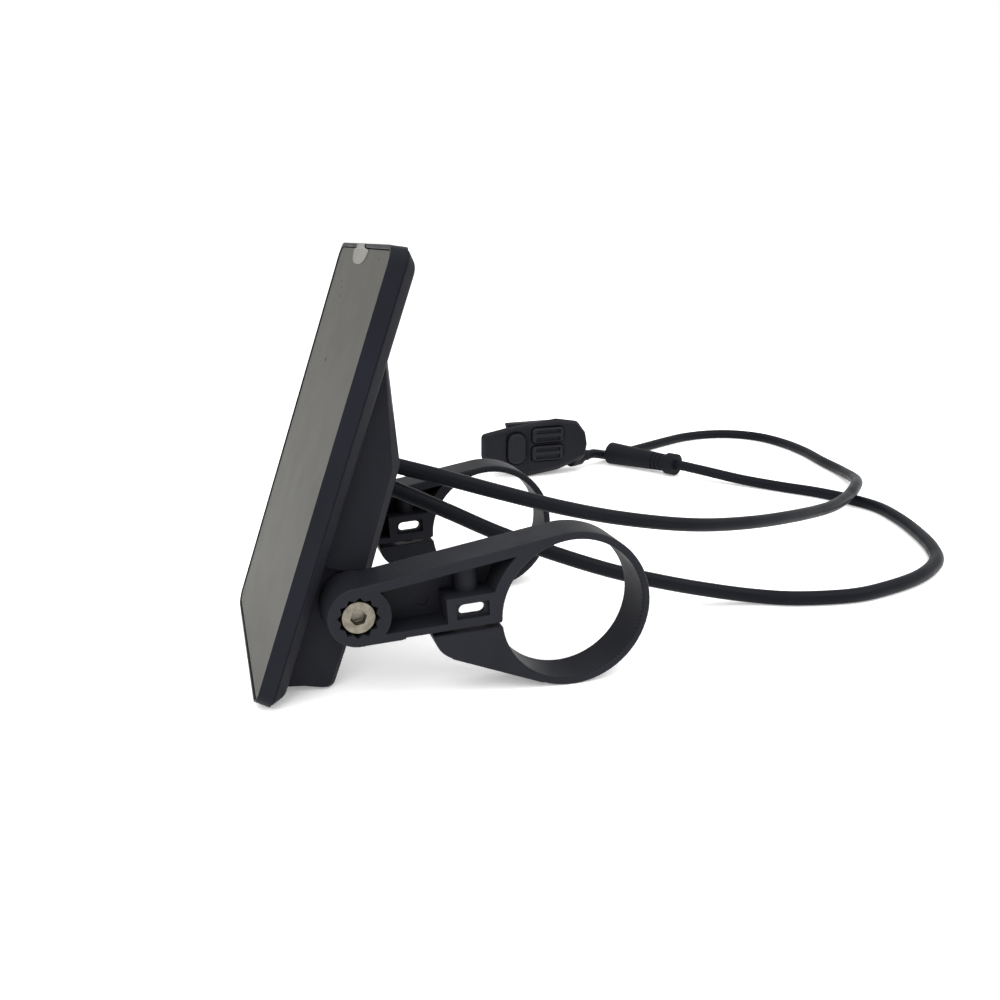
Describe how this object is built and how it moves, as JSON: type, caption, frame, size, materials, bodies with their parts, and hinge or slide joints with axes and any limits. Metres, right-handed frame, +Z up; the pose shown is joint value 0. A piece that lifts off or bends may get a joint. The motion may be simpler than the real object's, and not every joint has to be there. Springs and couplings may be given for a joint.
{
  "type": "e-bike handlebar display",
  "caption": "Flat e-bike display on two split bar-clamp arms, with a wired button remote and a main lead ending in a round connector.",
  "frame": {"origin": "on the handlebar clamp axis, midway between the two clamps", "axes": "+X along the handlebar to the rider's right, +Y forward, +Z up from the table that the set lies on"},
  "size_m": [0.2118, 0.2442, 0.0947],
  "materials": {
    "casing": "fine matt texture, glass-filled nylon",
    "glass": "polished, black behind the glass",
    "film": "thin clear protective film with a pale pull tab",
    "rubber": "matt",
    "rubber_grey": "matt silicone",
    "screen": "switched-off screen",
    "tray": "white moulded tray",
    "board": "green solder mask",
    "plug_white": "natural nylon",
    "steel": "zinc plated",
    "brass": "turned",
    "stainless": "stainless, satin, a little dull",
    "arm": "satin moulded, glass-filled nylon",
    "remote": "fine matt texture",
    "keys": "satin silicone",
    "lead": "smooth satin sheath",
    "connector": "satin moulded",
    "gold": "gold plated"
  },
  "bodies": {
    "head": {"front_casing": "casing", "cover_glass": "glass", "screen_film": "film", "glass_gasket": "rubber", "lcd_panel": "screen", "lcd_tray": "tray", "main_board": "board", "board_plugs": "plug_white", "board_screws": "steel", "housing_seal": "rubber_grey", "rear_cover": "casing", "cover_screws": "steel", "pivot_insert_right": "brass", "pivot_insert_left": "brass", "pivot_screw_right": "stainless", "pivot_screw_left": "stainless", "grommet_remote_lead": "rubber", "grommet_main_lead": "rubber", "remote_front_shell": "remote", "remote_rear_shell": "remote", "remote_seal": "rubber_grey", "remote_board": "board", "key_switches": "plug_white", "remote_screws": "steel", "remote_gland": "rubber", "remote_lead": "lead", "main_lead": "lead", "connector_shell": "connector", "connector_core": "connector", "connector_pins": "gold", "connector_seal": "rubber_grey"},
    "arm_right": {"arm_right": "arm"},
    "arm_left": {"arm_left": "arm"},
    "key_mode": {"key_mode": "keys"},
    "key_up": {"key_up": "keys"},
    "key_down": {"key_down": "keys"}
  },
  "joints": [
    {"name": "tilt_right", "type": "hinge", "parent": "head", "child": "arm_right", "pos_m": [0.02967, -0.04681, 0.00346], "axis": [1, 0, 0], "range_deg": [-40, 45]},
    {"name": "tilt_left", "type": "hinge", "parent": "head", "child": "arm_left", "pos_m": [-0.02967, -0.04681, 0.00346], "axis": [1, 0, 0], "range_deg": [-40, 45]},
    {"name": "press_mode", "type": "slide", "parent": "head", "child": "key_mode", "axis": [-1, 0, 0], "range_m": [0, 0.0006], "stiffness_N_per_m": 900},
    {"name": "press_up", "type": "slide", "parent": "head", "child": "key_up", "axis": [-1, 0, 0], "range_m": [0, 0.0006], "stiffness_N_per_m": 900},
    {"name": "press_down", "type": "slide", "parent": "head", "child": "key_down", "axis": [-1, 0, 0], "range_m": [0, 0.0006], "stiffness_N_per_m": 900}
  ],
  "couplings": [
    {"joint": "tilt_left", "follows": "tilt_right", "ratio": 1}
  ]
}
